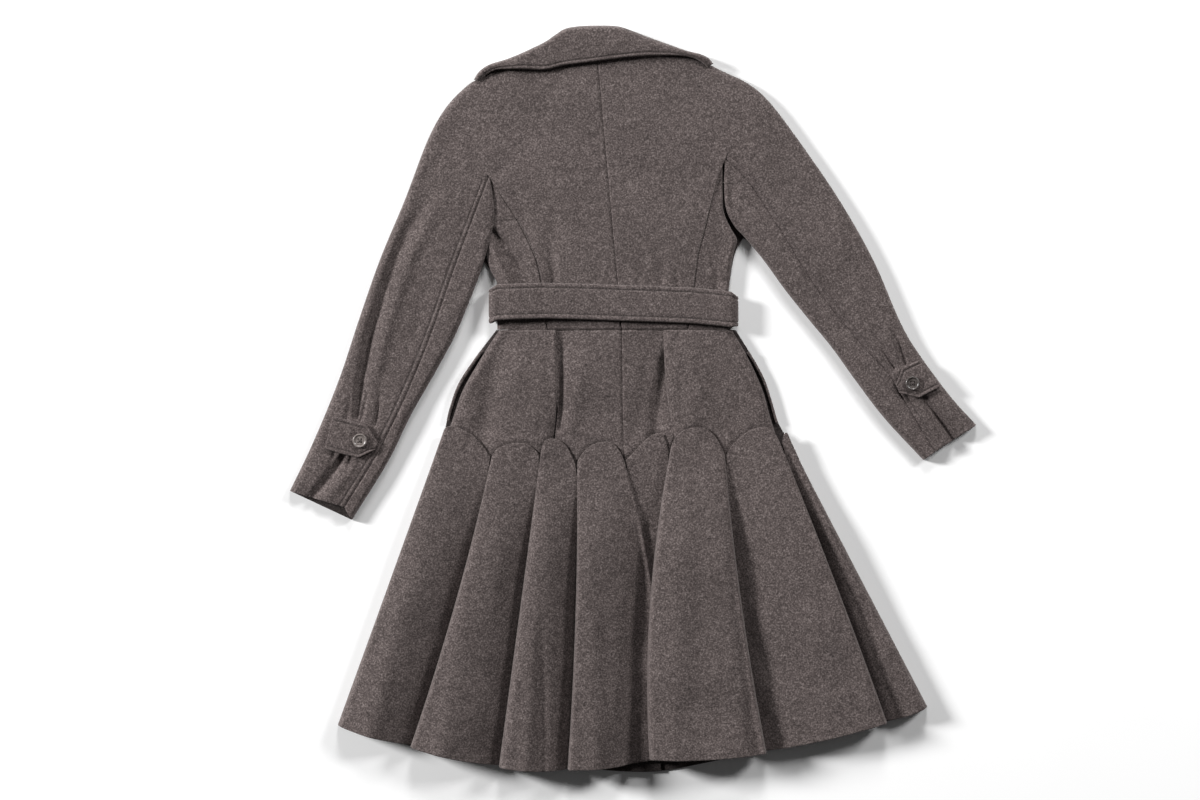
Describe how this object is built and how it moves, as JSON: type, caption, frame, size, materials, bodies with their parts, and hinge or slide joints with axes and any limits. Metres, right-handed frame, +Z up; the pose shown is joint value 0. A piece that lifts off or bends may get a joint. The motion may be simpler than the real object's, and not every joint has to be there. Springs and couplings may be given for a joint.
{
  "type": "wool coat laid flat",
  "caption": "Belted wool coat laid flat on its front, back up, with kimono sleeves, folded collar, hip yoke, flounce of scallop-topped gores and buttoned cuff tabs",
  "frame": {"origin": "centre of the bounding box in plan, on the floor that the coat lies on", "axes": "+X to the right of the coat seen from its back, +Y to the collar, +Z up from the floor to the coat's back"},
  "size_m": [0.9602, 1.0437, 0.0365],
  "materials": {
    "wool": "heathered wool coating with a short brushed nap",
    "wool_front": "heathered wool coating, inner face",
    "button": "polished horn-like resin"
  },
  "bodies": {
    "root": {"back_left": "wool", "back_right": "wool", "side_panel_left": "wool", "side_panel_right": "wool", "under_sleeve_left": "wool", "under_sleeve_right": "wool", "hip_side_left": "wool", "hip_centre_left": "wool", "hip_centre_right": "wool", "hip_side_right": "wool", "gore_back_1": "wool", "gore_back_2": "wool", "gore_back_3": "wool", "gore_back_4": "wool", "gore_back_5": "wool", "gore_back_6": "wool", "gore_back_7": "wool", "gore_back_8": "wool", "collar": "wool", "collar_front_left": "wool", "collar_front_right": "wool", "belt": "wool", "cuff_tab_left": "wool", "cuff_tab_right": "wool", "pocket_welt_left": "wool", "pocket_welt_right": "wool", "front_left": "wool_front", "front_right": "wool_front", "hip_front_left": "wool_front", "hip_front_right": "wool_front", "gore_front_left": "wool_front", "gore_front_right": "wool_front", "cuff_button_left": "button", "cuff_button_right": "button"}
  },
  "joints": []
}
